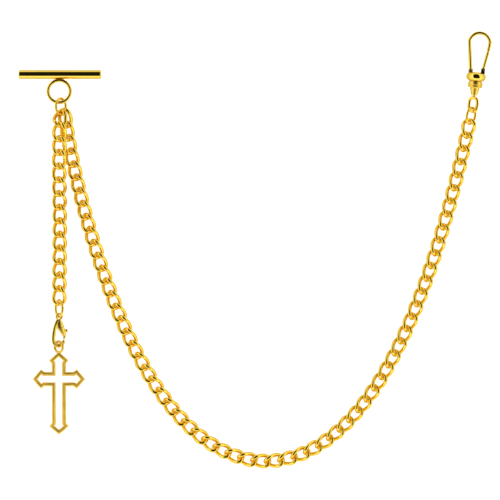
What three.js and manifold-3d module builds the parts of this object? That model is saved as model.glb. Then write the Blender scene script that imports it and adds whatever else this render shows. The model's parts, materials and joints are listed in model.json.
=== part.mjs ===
// Pocket watch chain: a T-bar with a soldered ring, one jump ring that carries two curb chains,
// a short drop with a lobster clasp and an openwork cross, and a long chain with a swivel hook.
// It lies flat on a surface at z = 0. Millimetres, +Z up, +X along the T-bar.
import * as THREE from 'three';
import { mergeVertices } from 'three/addons/utils/BufferGeometryUtils.js';
import Module from 'manifold-3d';

const wasm = await Module();
wasm.setup();

// ---- driving dimensions ----

const FIT_GAP = 0.3; // between fixed neighbours that touch on the real piece
const RUNNING_GAP = 0.12; // between interlocked links
const RING_GAP = 0.2; // between a jump ring and what hangs in it

const BAR_LENGTH = 30;
const BAR_RADIUS = 1.62;
const BAR_CHAMFER = 0.35;
const BAR_SIDES = 32;

const BAR_RING_RADIUS = 4.05; // to the middle of its wire
const BAR_RING_WIRE = 1.25;
const BAR_RING_SHIFT = -0.25; // soldered a little to one side of the bar's middle
const BAR_RING_OFFSET = 6.2; // from the axis of the bar
const BAR_RING_LIFT = 3.5; // degrees: the ring leans on the jump ring under it
const SADDLE_HALF_WIDTH = 4.0;
const SADDLE_DEPTH = 2.75;

const JUMP_WIRE = 1.0;
const JUMP_HALF_WIDTH = 2.5; // to the middle of the wire
const JUMP_HALF_LENGTH = 2.97;
const TOP_RING_ROLL = 51;
const TOP_RING_SHIFT = 0.4;
const DROP_RING_ROLL = -55;
const DROP_RING_HEIGHT = 2.55;
const END_RING_ROLL = 48;
const END_RING_HEIGHT = 2.35;

const LINK_WIRE = 1.4;
const LINK_PITCH = 4.925;
const LINK_HALF_LENGTH = (LINK_PITCH + LINK_WIRE + RUNNING_GAP) / 2; // to the middle of the wire
const LINK_HALF_WIDTH = 2.05;
const LINK_TWIST = 1.1; // how far the wire rises and falls through the twist
const LINK_STEPS = 12;
const LINK_SIDES = 8;
const WELD = 0.1; // how far the two links of one segment sink into each other
const INNER_PITCH = 2 * LINK_HALF_LENGTH - LINK_WIRE + WELD;

const DROP_LINKS = 14;
const DROP_X = 0.24; // where it starts
const DROP_DRIFT = 0.44; // how far to the left it has drifted at its end
const DROP_RAISE = 3.96; // the drop lies over the long chain at first
const DROP_RAISE_SPAN = [16, 40]; // where it comes down to the surface
const DROP_DIP = 3.24; // its first link dips under the top ring
const DROP_DIP_SPAN = [-3.1, 3.3];
const DROP_END_RAISE = 0.5; // its last links ride up on the drop ring
const DROP_END_SPAN = [50, 66];
const DROP_ROLL = 14;
const DROP_ROLL_SPAN = [20, 45];
const LONG_LINKS = 63;
const LONG_ROLL = 13;
const LONG_ROLL_SPAN = [6, 40];
const LONG_LOWEST = new THREE.Vector2(75.15, -140.9); // the bottom of the long curve
const LONG_SAG = 33.2; // the catenary's parameter
const LONG_START_Y = -15.92; // the middle of its first link
const LONG_START_SHIFT = 1.26;
const LONG_START_FADE = 15;
const LONG_END_RAISE = 0.25; // its last links ride up on the end ring
const LONG_END_SPAN = [290, 305];

const LOBSTER_HALF_WIDTH = 2.55;
const LOBSTER_BOW_Y = -8.8; // the middle of the claw's bow, below the eye
const LOBSTER_SIDE_TOP = -6.3; // its sides run straight up to here, then in to the eye
const LOBSTER_EYE_RADIUS = 1.35;
const LOBSTER_EYE_HOLE = 0.76;
const LOBSTER_WALL = 1.1;
const LOBSTER_THICKNESS = 1.15;
const LOBSTER_SHOULDER_THICKNESS = 1.9;
const LOBSTER_SLOT = 1.1;
const LOBSTER_LEAN = 1.6; // degrees: the jump ring tips it a little to the left
const LOBSTER_ROLL = 20;
const LOBSTER_PITCH = 4.5; // degrees: its eye end is held up by the jump ring
const LEVER_THICKNESS = 0.5;
const LEVER_HEIGHT = -0.2; // it lies low in its slot, with the spring above it
const LEVER_PIVOT = new THREE.Vector2(1.0, -3.9);
const PIN_RADIUS = 0.26;
const PIN_CLEARANCE = 0.1;

const PENDANT_LOOP_RADIUS = 2.0;
const PENDANT_LOOP_WIRE = 1.0;
const PENDANT_LOOP_ROLL = -38;
const PENDANT_HANG = 2.3; // from the middle of the claw's bow to the middle of the loop
const PENDANT_PITCH = 2.0; // degrees: its loop end is held up by the clasp
const CROSS_HEIGHT = 30.4;
const CROSS_HALF_WIDTH = 9.65;
const CROSS_ARM_DROP = 10; // from the top point to the middle of the arms
const CROSS_ARM_HALF = 2.6;
const CROSS_FLARE_HALF = 3.62;
const CROSS_FLARE_IN = 3.1; // from a tip back to its flare points
const CROSS_WAIST_IN = 4.4; // from a tip back to where its arm starts
const CROSS_FRAME = 1.42;
const CROSS_THICKNESS = 1.2;
const CROSS_BEDDED = 0.3; // its top point lies this far down from the inside of the loop's wire

const EYE_WIRE = 1.15;
const EYE_HALF_WIDTH = 1.68;
const EYE_HALF_LENGTH = 2.48;
const EYE_ROLL = -35;
const CLASP_LEAN = 5.3; // degrees clockwise of +Y
const CLASP_PITCH = 7; // degrees: its hook end stands up from the surface
const BEAD_RADIUS = 3.55;
const BEAD_FLAT_RADIUS = 2.5;
const BEAD_BOTTOM = -1.62; // along the clasp's axis, from the middle of the bead
const BEAD_TOP = 1.68;
const BEAD_RIM_ARC = 130; // degrees of the round rim's section
const BEAD_STEPS = 6;
const FLANGE_RADIUS = 2.7;
const FLANGE_BOTTOM = -3.85;
const CONE_RADIUS = 1.8;
const CONE_END_RADIUS = 1.15;
const CONE_BOTTOM = -6.75;
const POST_RADIUS = 0.5;
const POST_HEAD_RADIUS = 1.1;
const POST_HEAD_HEIGHT = 0.5;
const POCKET_BOTTOM = -3.15; // the floor of the room in the cone for the head of the post
const BORE_RADIUS = 0.75;
const SWIVEL_EYE_Y = -10.1;
const HOOK_WIRE = 1.15;
const HOOK_STEPS = 30;
const HOOK_ARCH_RADIUS = 3.8;
const HOOK_ARCH_Y = 12.1;
const HOOK_LEG_X = 2.1; // where a leg meets the top of the bead
const GATE_HINGE_Y = 2.75;
const GATE_END_Y = 9.6;
const GATE_WIRE = 1.035;
const GATE_HUB_RADIUS = 0.72;
const GATE_HUB_HEIGHT = -0.1; // the gate's spring lies above its hub
const GATE_HUB_THICKNESS = 0.7;
const ROOM_THICKNESS = 1.3;
const GATE_EAR_HEIGHT = 0.85; // either side of the gate's middle

const ROUND_STEPS = 20;
const WIRE_SIDES = 6;
const PIN_SIDES = 10;
const ARC_STEPS = 6;

// ---- materials ----

function metal(color, roughness) {
  return new THREE.MeshStandardMaterial({ color, roughness, metalness: 1 });
}

const polishedGold = metal(0xe9b53a, 0.12);
const chainGold = metal(0xf0bb3e, 0.22);
const castGold = metal(0xdca73a, 0.3);
const springSteel = metal(0xb8a980, 0.35);

// ---- solids ----

function toSolid(geometry) {
  const bare = geometry.index ? geometry.clone() : geometry;
  bare.deleteAttribute('normal');
  bare.deleteAttribute('uv');
  const merged = mergeVertices(bare, 1e-5);
  return new wasm.Manifold(new wasm.Mesh({
    numProp: 3,
    vertProperties: new Float32Array(merged.attributes.position.array),
    triVerts: new Uint32Array(merged.index.array),
  }));
}

function toGeometry(solid) {
  const mesh = solid.getMesh();
  const geometry = new THREE.BufferGeometry();
  geometry.setAttribute('position', new THREE.BufferAttribute(mesh.vertProperties, 3));
  geometry.setIndex(new THREE.BufferAttribute(mesh.triVerts, 1));
  return geometry;
}

// Joins pieces that reach into each other. A pocket that their facets close in is filled.
function join(...geometries) {
  const sum = geometries.map(toSolid).reduce((left, piece) => left.add(piece));
  const shells = sum.decompose().filter((shell) => shell.volume() > 0);
  if (shells.length !== 1) throw new Error(`the pieces form ${shells.length} bodies`);
  return toGeometry(shells[0]);
}

function cut(geometry, ...tools) {
  const left = tools.map(toSolid).reduce((block, tool) => block.subtract(tool), toSolid(geometry));
  return toGeometry(left);
}

// A closed loop of round wire: a torus whose every vertex moves to its place round the centreline.
function wireLoop(centreline, wire, steps, sides) {
  const loop = new THREE.TorusGeometry(1, 0.5, sides, steps);
  const places = loop.attributes.position;
  const up = new THREE.Vector3(0, 0, 1);
  const place = new THREE.Vector3();
  for (let step = 0; step <= steps; step++) {
    const angle = (step % steps) / steps * 2 * Math.PI;
    const tangent = centreline(angle + 1e-4).sub(centreline(angle - 1e-4)).normalize();
    const outward = tangent.clone().cross(up).normalize();
    const across = outward.clone().cross(tangent);
    for (let side = 0; side <= sides; side++) {
      const turn = (side % sides) / sides * 2 * Math.PI;
      place.copy(centreline(angle));
      place.addScaledVector(outward, wire / 2 * Math.cos(turn));
      place.addScaledVector(across, wire / 2 * Math.sin(turn));
      places.setXYZ(side * (steps + 1) + step, place.x, place.y, place.z);
    }
  }
  return loop;
}

function ovalLoop(halfX, halfY, wire, steps = ROUND_STEPS) {
  const centreline = (angle) => new THREE.Vector3(halfX * Math.cos(angle), halfY * Math.sin(angle), 0);
  return wireLoop(centreline, wire, steps, WIRE_SIDES);
}

// An open length of round wire along a curve.
function wireAlong(curve, wire, steps) {
  const section = new THREE.Shape();
  section.absarc(0, 0, wire / 2, 0, 2 * Math.PI);
  return new THREE.ExtrudeGeometry(section, { extrudePath: curve, steps, curveSegments: WIRE_SIDES / 2 });
}

// A plate of the given outline, centred on the plane z = 0.
function plate(shape, thickness, curveSegments = ARC_STEPS) {
  const options = { depth: thickness, bevelEnabled: false, curveSegments };
  return new THREE.ExtrudeGeometry(shape, options).translate(0, 0, -thickness / 2);
}

// A cylinder along z, centred on the given height.
function pinAlongZ(x, y, z, radius, length) {
  const pin = new THREE.CylinderGeometry(radius, radius, length, PIN_SIDES);
  return pin.rotateX(Math.PI / 2).translate(x, y, z);
}

function lathe(profile, segments = ROUND_STEPS) {
  return new THREE.LatheGeometry(profile.map(([radius, y]) => new THREE.Vector2(radius, y)), segments);
}

// Bends a closed outline inward by one distance all round, for corners given anticlockwise.
function inset(corners, distance) {
  return corners.map((corner, index) => {
    const before = corners[(index + corners.length - 1) % corners.length];
    const after = corners[(index + 1) % corners.length];
    const intoCorner = corner.clone().sub(before).normalize();
    const outOfCorner = after.clone().sub(corner).normalize();
    const inwardBefore = new THREE.Vector2(-intoCorner.y, intoCorner.x);
    const inwardAfter = new THREE.Vector2(-outOfCorner.y, outOfCorner.x);
    const bisector = inwardBefore.add(inwardAfter).normalize();
    return corner.clone().addScaledVector(bisector, distance / bisector.dot(inwardAfter));
  });
}

// ---- scene graph ----

const part = new THREE.Group();
const DEGREE = Math.PI / 180;
const { smoothstep } = THREE.MathUtils;

// Turns a piece whose length runs along its own +Y to a heading, nose up by the pitch, then rolled.
function turn(object, { lean = 0, pitch = 0, roll = 0 }) {
  object.rotation.set(pitch * DEGREE, roll * DEGREE, -lean * DEGREE, 'ZXY');
  return object;
}

function addMesh(parent, name, geometry, material) {
  const mesh = new THREE.Mesh(geometry, material);
  mesh.name = name;
  parent.add(mesh);
  return mesh;
}

// ---- T-bar ----

const barGroup = new THREE.Group();
barGroup.position.z = BAR_RADIUS;
barGroup.rotation.x = -BAR_RING_LIFT * DEGREE;
part.add(barGroup);

function barGeometry() {
  const half = BAR_LENGTH / 2;
  const shoulder = half - BAR_CHAMFER;
  const face = BAR_RADIUS - BAR_CHAMFER;
  const profile = [
    [0, -half],
    [face, -half],
    [BAR_RADIUS, -shoulder],
    [BAR_RADIUS, shoulder],
    [face, half],
    [0, half],
  ];
  return lathe(profile, BAR_SIDES).rotateZ(-Math.PI / 2);
}

function barRingGeometry() {
  const ring = ovalLoop(BAR_RING_RADIUS, BAR_RING_RADIUS, BAR_RING_WIRE).translate(0, -BAR_RING_OFFSET, 0);
  const saddle = new THREE.Shape([
    new THREE.Vector2(-SADDLE_HALF_WIDTH, 0),
    new THREE.Vector2(-SADDLE_HALF_WIDTH / 2, -SADDLE_DEPTH),
    new THREE.Vector2(SADDLE_HALF_WIDTH / 2, -SADDLE_DEPTH),
    new THREE.Vector2(SADDLE_HALF_WIDTH, 0),
  ]);
  const roomRadius = BAR_RADIUS + FIT_GAP;
  const room = new THREE.CylinderGeometry(roomRadius, roomRadius, BAR_LENGTH, BAR_SIDES);
  const soldered = cut(join(ring, plate(saddle, BAR_RING_WIRE)), room.rotateZ(Math.PI / 2));
  return soldered.translate(BAR_RING_SHIFT, 0, 0);
}

addMesh(barGroup, 't_bar', barGeometry(), polishedGold);
addMesh(barGroup, 't_bar_ring', barRingGeometry(), polishedGold);

// ---- jump rings ----

const RING_TO_LINK = (JUMP_WIRE + LINK_WIRE) / 2 + RING_GAP; // between the two wires' middles

function addJumpRing(name, middle, lean, roll) {
  const geometry = ovalLoop(JUMP_HALF_WIDTH, JUMP_HALF_LENGTH, JUMP_WIRE);
  const ring = turn(addMesh(part, name, geometry, chainGold), { lean, roll });
  ring.position.copy(middle);
}

const barRingBottomY = -BAR_RING_OFFSET - BAR_RING_RADIUS;
const barRingBottomZ = BAR_RADIUS - barRingBottomY * Math.sin(BAR_RING_LIFT * DEGREE);
const topRingTopY = barRingBottomY + (BAR_RING_WIRE + JUMP_WIRE) / 2 + FIT_GAP;
const topRing = new THREE.Vector3(TOP_RING_SHIFT, topRingTopY - JUMP_HALF_LENGTH, barRingBottomZ);
addJumpRing('top_jump_ring', topRing, 0, TOP_RING_ROLL);

// ---- curb chain ----

// One twisted link, long along x, lying in the plane z = 0.
function linkGeometry() {
  const centreline = (angle) => new THREE.Vector3(
    LINK_HALF_LENGTH * Math.cos(angle),
    LINK_HALF_WIDTH * Math.sin(angle),
    -LINK_TWIST * Math.sin(2 * angle),
  );
  return wireLoop(centreline, LINK_WIRE, LINK_STEPS, LINK_SIDES);
}

// How high the middle of a rolled link is when it rests on the surface.
function restHeight(roll) {
  let lowest = 0;
  for (let angle = 0; angle < 2 * Math.PI; angle += 0.05) {
    const side = LINK_HALF_WIDTH * Math.sin(angle) * Math.sin(roll * DEGREE);
    const rise = -LINK_TWIST * Math.sin(2 * angle) * Math.cos(roll * DEGREE);
    lowest = Math.min(lowest, side + rise);
  }
  return LINK_WIRE / 2 - lowest;
}

// How far along a chain the middle of a link lies. Links are joined in pairs.
function linkDistance(index) {
  const pair = Math.floor(index / 2);
  return 2 * LINK_PITCH * pair + (index % 2) * INNER_PITCH;
}

// The frame of a link: x along the chain, y to its left, rolled about x.
function linkFrame(chain, index) {
  const distance = linkDistance(index);
  const ahead = chain.route(distance + LINK_HALF_LENGTH);
  const behind = chain.route(distance - LINK_HALF_LENGTH);
  const forward = ahead.clone().sub(behind);
  const heading = Math.atan2(forward.y, forward.x);
  const climb = Math.atan2(forward.z, Math.hypot(forward.x, forward.y));
  const roll = chain.roll(distance) * DEGREE;
  const level = new THREE.Euler(0, -climb, heading, 'ZYX');
  const rolled = new THREE.Euler(roll, -climb, heading, 'ZYX');
  const middle = chain.route(distance);
  return {
    middle,
    level: new THREE.Quaternion().setFromEuler(level),
    rolled: new THREE.Quaternion().setFromEuler(rolled),
  };
}

const ONE = new THREE.Vector3(1, 1, 1);

// Adds a chain as pairs of links. Each pair's own origin is where it hooks into what comes before.
function addChain(chain) {
  for (let first = 0; first < chain.links; first += 2) {
    const frame = linkFrame(chain, first);
    const back = new THREE.Vector3(-LINK_PITCH / 2, 0, 0).applyQuaternion(frame.level);
    const hinge = frame.middle.clone().add(back);
    const home = new THREE.Matrix4().compose(hinge, frame.level, ONE).invert();
    const loops = [];
    for (let index = first; index < Math.min(first + 2, chain.links); index++) {
      const own = linkFrame(chain, index);
      const place = new THREE.Matrix4().compose(own.middle, own.rolled, ONE).premultiply(home);
      loops.push(linkGeometry().applyMatrix4(place));
    }
    const number = String(first / 2 + 1).padStart(2, '0');
    const mesh = addMesh(part, `${chain.name}_${number}`, join(...loops), chainGold);
    mesh.position.copy(hinge);
    mesh.quaternion.copy(frame.level);
  }
}

// The middle of the wire at a link's far end (1) or near end (-1).
function linkEnd(chain, index, end) {
  const frame = linkFrame(chain, index);
  const reach = new THREE.Vector3(end * LINK_HALF_LENGTH, 0, 0).applyQuaternion(frame.level);
  return frame.middle.clone().add(reach);
}

// ---- drop chain ----

const dropChain = {
  name: 'drop_links',
  links: DROP_LINKS,
  startY: 0,
  roll: (distance) => DROP_ROLL * smoothstep(distance, ...DROP_ROLL_SPAN),
  route(distance) {
    const overLongChain = DROP_RAISE * (1 - smoothstep(distance, ...DROP_RAISE_SPAN));
    const underTopRing = DROP_DIP * (1 - smoothstep(distance, ...DROP_DIP_SPAN));
    const overDropRing = DROP_END_RAISE * smoothstep(distance, ...DROP_END_SPAN);
    const height = restHeight(this.roll(distance)) + overLongChain - underTopRing + overDropRing;
    const x = DROP_X - DROP_DRIFT * distance / (DROP_LINKS * LINK_PITCH);
    return new THREE.Vector3(x, this.startY - distance, height);
  },
};
const dropHookY = topRing.y - JUMP_HALF_LENGTH + RING_TO_LINK;
dropChain.startY = dropHookY - linkEnd(dropChain, 0, -1).y;
addChain(dropChain);

const dropEnd = linkEnd(dropChain, DROP_LINKS - 1, 1);
const dropRingY = dropEnd.y + RING_TO_LINK - JUMP_HALF_LENGTH;
const dropRing = new THREE.Vector3(dropEnd.x, dropRingY, DROP_RING_HEIGHT);
addJumpRing('drop_jump_ring', dropRing, 0, DROP_RING_ROLL);

// ---- lobster clasp: its origin is the middle of its eye, its length runs down -Y ----

const lobsterGroup = turn(new THREE.Group(), {
  lean: LOBSTER_LEAN,
  pitch: LOBSTER_PITCH,
  roll: LOBSTER_ROLL,
});
lobsterGroup.position.set(dropRing.x, dropRing.y - JUMP_HALF_LENGTH, dropRing.z);
part.add(lobsterGroup);

// The claw's opening, from its apex beside the shoulder, down the left wall and round the bow.
const OPENING_RADIUS = LOBSTER_HALF_WIDTH - LOBSTER_WALL;
const OPENING_APEX = new THREE.Vector2(-0.75, -4.1);
const MOUTH_TOP = -7.3; // the claw is open on its right between these heights
const MOUTH_BOTTOM = -8.9;
const SHOULDER_FOOT = -6.9;
const SHOULDER_TOP = -2.4;
const CUT_THROUGH = 4; // long enough to pass through any piece of a clasp

function lobsterOutline() {
  const outline = new THREE.Shape();
  outline.absarc(0, LOBSTER_BOW_Y, LOBSTER_HALF_WIDTH, Math.PI, 2 * Math.PI);
  outline.lineTo(LOBSTER_HALF_WIDTH, LOBSTER_SIDE_TOP);
  outline.absarc(0, 0, LOBSTER_EYE_RADIUS, 0, Math.PI);
  outline.lineTo(-LOBSTER_HALF_WIDTH, LOBSTER_SIDE_TOP);
  const opening = new THREE.Path();
  opening.absarc(0, LOBSTER_BOW_Y, OPENING_RADIUS, Math.PI, 2 * Math.PI);
  opening.lineTo(OPENING_RADIUS, MOUTH_TOP);
  opening.lineTo(OPENING_APEX.x, OPENING_APEX.y);
  opening.lineTo(-OPENING_RADIUS, LOBSTER_BOW_Y + 2.2);
  const eye = new THREE.Path();
  eye.absarc(0, 0, LOBSTER_EYE_HOLE, 0, 2 * Math.PI);
  outline.holes.push(opening, eye);
  return outline;
}

function shoulderOutline() {
  return new THREE.Shape([
    new THREE.Vector2(1.45, SHOULDER_FOOT),
    new THREE.Vector2(2.4, SHOULDER_FOOT),
    new THREE.Vector2(2.35, LOBSTER_SIDE_TOP),
    new THREE.Vector2(1.4, SHOULDER_TOP),
    new THREE.Vector2(-0.4, SHOULDER_TOP),
    new THREE.Vector2(-0.6, -3.9),
  ]);
}

function lobsterBodyGeometry() {
  const block = join(
    plate(lobsterOutline(), LOBSTER_THICKNESS),
    plate(shoulderOutline(), LOBSTER_SHOULDER_THICKNESS),
  );
  // The lever lies in a slot that is open to the right, from inside the shoulder to the mouth.
  const slot = new THREE.BoxGeometry(4.2, 6.2, LOBSTER_SLOT).translate(1.9, -5.4, 0);
  const mouth = new THREE.BoxGeometry(2, MOUTH_TOP - MOUTH_BOTTOM, CUT_THROUGH)
    .translate(LOBSTER_HALF_WIDTH, (MOUTH_TOP + MOUTH_BOTTOM) / 2, 0);
  const bore = pinAlongZ(LEVER_PIVOT.x, LEVER_PIVOT.y, 0, PIN_RADIUS + PIN_CLEARANCE, CUT_THROUGH);
  return cut(block, slot, mouth, bore);
}

// The lever's outer edge follows the body's side, with its thumb tab standing out to the right.
function leverGeometry() {
  const outline = new THREE.Shape([
    new THREE.Vector2(0.45, -3.7),
    new THREE.Vector2(1.6, -8.5),
    new THREE.Vector2(2.35, -8.5),
    new THREE.Vector2(2.5, -6.0),
    new THREE.Vector2(3.4, -5.45),
    new THREE.Vector2(3.4, -4.7),
    new THREE.Vector2(2.3, -4.6),
    new THREE.Vector2(1.45, -3.3),
  ]);
  const bore = pinAlongZ(LEVER_PIVOT.x, LEVER_PIVOT.y, 0, PIN_RADIUS + PIN_CLEARANCE, CUT_THROUGH);
  const leaf = plate(outline, LEVER_THICKNESS).translate(0, 0, LEVER_HEIGHT);
  return cut(leaf, bore);
}

// A small torsion coil, as one sleeve round the pin.
function coilSleeve(x, y, z, outer, length) {
  const sleeve = new THREE.Shape();
  sleeve.absarc(0, 0, outer, 0, 2 * Math.PI);
  const hole = new THREE.Path();
  hole.absarc(0, 0, PIN_RADIUS + PIN_CLEARANCE, 0, 2 * Math.PI);
  sleeve.holes.push(hole);
  return plate(sleeve, length).translate(x, y, z);
}

const leverSpringHeight = 0.3;
const { x: pivotX, y: pivotY } = LEVER_PIVOT;
const leverPin = pinAlongZ(pivotX, pivotY, 0, PIN_RADIUS, LOBSTER_SHOULDER_THICKNESS);
const leverSpring = coilSleeve(pivotX, pivotY, leverSpringHeight, 0.52, 0.3);
addMesh(lobsterGroup, 'lobster_body', lobsterBodyGeometry(), chainGold);
addMesh(lobsterGroup, 'lobster_pin', leverPin, springSteel);
addMesh(lobsterGroup, 'lobster_spring', leverSpring, springSteel);
addMesh(lobsterGroup, 'lobster_lever', leverGeometry(), chainGold);

// ---- cross pendant: its origin is the middle of its loop ----

function crossOutline() {
  const half = CROSS_ARM_HALF;
  const side = CROSS_HALF_WIDTH;
  const bottom = -CROSS_HEIGHT;
  const arm = -CROSS_ARM_DROP;
  const right = [
    [CROSS_FLARE_HALF, bottom + CROSS_FLARE_IN],
    [half, bottom + CROSS_WAIST_IN],
    [half, arm - half],
    [side - CROSS_WAIST_IN, arm - half],
    [side - CROSS_FLARE_IN, arm - CROSS_FLARE_HALF],
    [side, arm],
    [side - CROSS_FLARE_IN, arm + CROSS_FLARE_HALF],
    [side - CROSS_WAIST_IN, arm + half],
    [half, arm + half],
    [half, -CROSS_WAIST_IN],
    [CROSS_FLARE_HALF, -CROSS_FLARE_IN],
  ];
  const left = right.map(([x, y]) => [-x, y]).reverse();
  const corners = [[0, bottom], ...right, [0, 0], ...left];
  return corners.map(([x, y]) => new THREE.Vector2(x, y));
}

function pendantGeometry() {
  const corners = crossOutline();
  const frame = new THREE.Shape(corners);
  frame.holes.push(new THREE.Path(inset(corners, CROSS_FRAME)));
  const apexY = -PENDANT_LOOP_RADIUS + PENDANT_LOOP_WIRE / 2 - CROSS_BEDDED;
  const cross = plate(frame, CROSS_THICKNESS).translate(0, apexY, 0);
  const loop = ovalLoop(PENDANT_LOOP_RADIUS, PENDANT_LOOP_RADIUS, PENDANT_LOOP_WIRE)
    .rotateY(PENDANT_LOOP_ROLL * DEGREE);
  return join(cross, loop);
}

const pendant = turn(addMesh(part, 'cross_pendant', pendantGeometry(), castGold), { pitch: PENDANT_PITCH });
const bow = new THREE.Vector3(0, LOBSTER_BOW_Y, 0).applyEuler(lobsterGroup.rotation);
bow.add(lobsterGroup.position);
pendant.position.set(bow.x, bow.y - PENDANT_HANG, bow.z);

// ---- long chain ----

const CATENARY_START = Math.acosh(1 + (LONG_START_Y - LONG_LOWEST.y) / LONG_SAG);

const longChain = {
  name: 'long_links',
  links: LONG_LINKS,
  roll: (distance) => LONG_ROLL * smoothstep(distance, ...LONG_ROLL_SPAN),
  route(distance) {
    const along = Math.asinh(distance / LONG_SAG - Math.sinh(CATENARY_START));
    const shift = LONG_START_SHIFT * Math.exp(-Math.max(distance, 0) / LONG_START_FADE);
    const x = LONG_LOWEST.x + LONG_SAG * along + shift;
    const y = LONG_LOWEST.y + LONG_SAG * (Math.cosh(along) - 1);
    const overEndRing = LONG_END_RAISE * smoothstep(distance, ...LONG_END_SPAN);
    return new THREE.Vector3(x, y, restHeight(this.roll(distance)) + overEndRing);
  },
};
addChain(longChain);

// ---- swivel clasp: its origin is the middle of the bead, its length runs up +Y ----

const longFrame = linkFrame(longChain, LONG_LINKS - 1);
const longEnd = linkEnd(longChain, LONG_LINKS - 1, 1);
const longForward = new THREE.Vector3(1, 0, 0).applyQuaternion(longFrame.level);
const endRing = longEnd.clone().addScaledVector(longForward, JUMP_HALF_LENGTH - RING_TO_LINK);
const endLean = 90 - Math.atan2(longForward.y, longForward.x) / DEGREE;
endRing.z = END_RING_HEIGHT;
addJumpRing('end_jump_ring', endRing, endLean, END_RING_ROLL);

const claspGroup = turn(new THREE.Group(), { lean: CLASP_LEAN, pitch: CLASP_PITCH });
part.add(claspGroup);

function swivelEyeGeometry() {
  const eye = ovalLoop(EYE_HALF_WIDTH, EYE_HALF_LENGTH, EYE_WIRE)
    .rotateY(EYE_ROLL * DEGREE)
    .translate(0, SWIVEL_EYE_Y, 0);
  const headBottom = POCKET_BOTTOM + FIT_GAP;
  const post = lathe([
    [0, SWIVEL_EYE_Y + EYE_HALF_LENGTH],
    [POST_RADIUS, SWIVEL_EYE_Y + EYE_HALF_LENGTH],
    [POST_RADIUS, headBottom],
    [POST_HEAD_RADIUS, headBottom],
    [POST_HEAD_RADIUS, headBottom + POST_HEAD_HEIGHT],
    [0, headBottom + POST_HEAD_HEIGHT],
  ], PIN_SIDES);
  return join(eye, post);
}

function swivelConeGeometry() {
  const top = BEAD_BOTTOM - FIT_GAP;
  return lathe([
    [BORE_RADIUS, CONE_BOTTOM],
    [CONE_END_RADIUS, CONE_BOTTOM],
    [CONE_RADIUS, FLANGE_BOTTOM],
    [FLANGE_RADIUS - 0.25, FLANGE_BOTTOM],
    [FLANGE_RADIUS, FLANGE_BOTTOM + 0.4],
    [FLANGE_RADIUS - 0.2, FLANGE_BOTTOM + 0.8],
    [FLANGE_RADIUS, top],
    [POST_HEAD_RADIUS + FIT_GAP, top],
    [POST_HEAD_RADIUS + FIT_GAP, POCKET_BOTTOM],
    [BORE_RADIUS, POCKET_BOTTOM],
    [BORE_RADIUS, CONE_BOTTOM],
  ]);
}

// A flat-topped bead with a round rim, and two ears on top that hold the gate's pin.
function swivelBeadGeometry() {
  const rim = (BEAD_TOP - BEAD_BOTTOM) / 2;
  const round = [];
  for (let step = 0; step <= BEAD_STEPS; step++) {
    const angle = (step / BEAD_STEPS - 0.5) * BEAD_RIM_ARC * DEGREE;
    const radius = BEAD_RADIUS - rim + rim * Math.cos(angle);
    round.push([radius, BEAD_BOTTOM + rim + rim * Math.sin(angle)]);
  }
  const under = [BEAD_FLAT_RADIUS, BEAD_BOTTOM];
  const over = [BEAD_FLAT_RADIUS, BEAD_TOP];
  const bead = lathe([[0, BEAD_BOTTOM], under, ...round, over, [0, BEAD_TOP]]);
  const ear = (z) => new THREE.BoxGeometry(1.3, 2.1, 0.4).translate(gateX, GATE_HINGE_Y - 0.4, z);
  const bore = pinAlongZ(gateX, GATE_HINGE_Y, 0, PIN_RADIUS + PIN_CLEARANCE, CUT_THROUGH);
  return cut(join(bead, ear(-GATE_EAR_HEIGHT), ear(GATE_EAR_HEIGHT)), bore);
}

// Both legs of the hook are straight and run on smoothly into its round arch.
const archReach = Math.hypot(HOOK_LEG_X, HOOK_ARCH_Y - BEAD_TOP);
const legTilt = Math.asin(HOOK_ARCH_RADIUS / archReach) - Math.atan2(HOOK_LEG_X, HOOK_ARCH_Y - BEAD_TOP);

function hookLegX(y) {
  return HOOK_LEG_X + (y - BEAD_TOP) * Math.tan(legTilt);
}

const gateX = hookLegX(GATE_HINGE_Y);

function hookGeometry() {
  const archEnd = Math.PI - legTilt;
  const meetX = HOOK_ARCH_RADIUS * Math.cos(archEnd);
  const meet = new THREE.Vector3(meetX, HOOK_ARCH_Y + HOOK_ARCH_RADIUS * Math.sin(legTilt), 0);
  const foot = new THREE.Vector3(-hookLegX(BEAD_TOP + FIT_GAP), BEAD_TOP + FIT_GAP, 0);
  const route = new THREE.CurvePath();
  route.add(new THREE.LineCurve3(foot, meet));
  route.add(new Arch(archEnd, legTilt));
  const tip = new THREE.Vector3(hookLegX(GATE_END_Y + FIT_GAP), GATE_END_Y + FIT_GAP, 0);
  route.add(new THREE.LineCurve3(new THREE.Vector3(-meet.x, meet.y, 0), tip));
  return wireAlong(route, HOOK_WIRE, HOOK_STEPS);
}

// The round top of the hook, from one angle to another about its middle.
class Arch extends THREE.Curve {
  constructor(from, to) {
    super();
    this.from = from;
    this.to = to;
  }

  getPoint(along, point = new THREE.Vector3()) {
    const angle = this.from + (this.to - this.from) * along;
    const x = HOOK_ARCH_RADIUS * Math.cos(angle);
    return point.set(x, HOOK_ARCH_Y + HOOK_ARCH_RADIUS * Math.sin(angle), 0);
  }
}

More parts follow.
